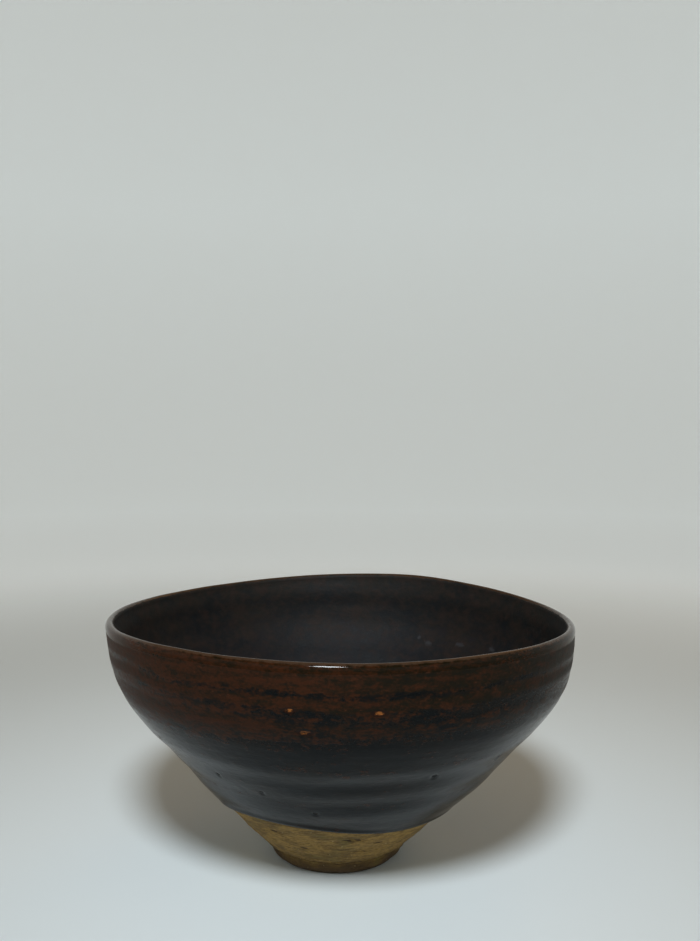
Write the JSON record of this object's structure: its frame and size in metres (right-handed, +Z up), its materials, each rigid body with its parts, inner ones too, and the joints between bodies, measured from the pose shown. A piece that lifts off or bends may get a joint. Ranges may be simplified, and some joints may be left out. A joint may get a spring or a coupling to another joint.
{
  "type": "matcha bowl",
  "caption": "Flared stoneware tea bowl with a gently wavy lip, a shallow waist under it and a small trimmed foot ring, glazed inside and out down to a wavy line above the bare foot.",
  "frame": {"origin": "centre of the plane that the foot ring rests on, under the middle of the bowl", "axes": "+Z up along the bowl's axis, out of the mouth; -Y is the side that faces the viewer in the lower picture, and +X is to that viewer's right"},
  "size_m": [0.1263, 0.1251, 0.0709],
  "materials": {
    "bare_clay": "matte",
    "outer_iron_glaze": "satin",
    "inner_iron_glaze": "satin",
    "splash_glaze": "gloss",
    "white_grain": "matte"
  },
  "bodies": {
    "root": {"clay_body": "bare_clay", "outer_glaze": "outer_iron_glaze", "inner_glaze": "inner_iron_glaze", "foot_glaze_splash": "splash_glaze", "feldspar_grain": "white_grain"}
  },
  "joints": []
}
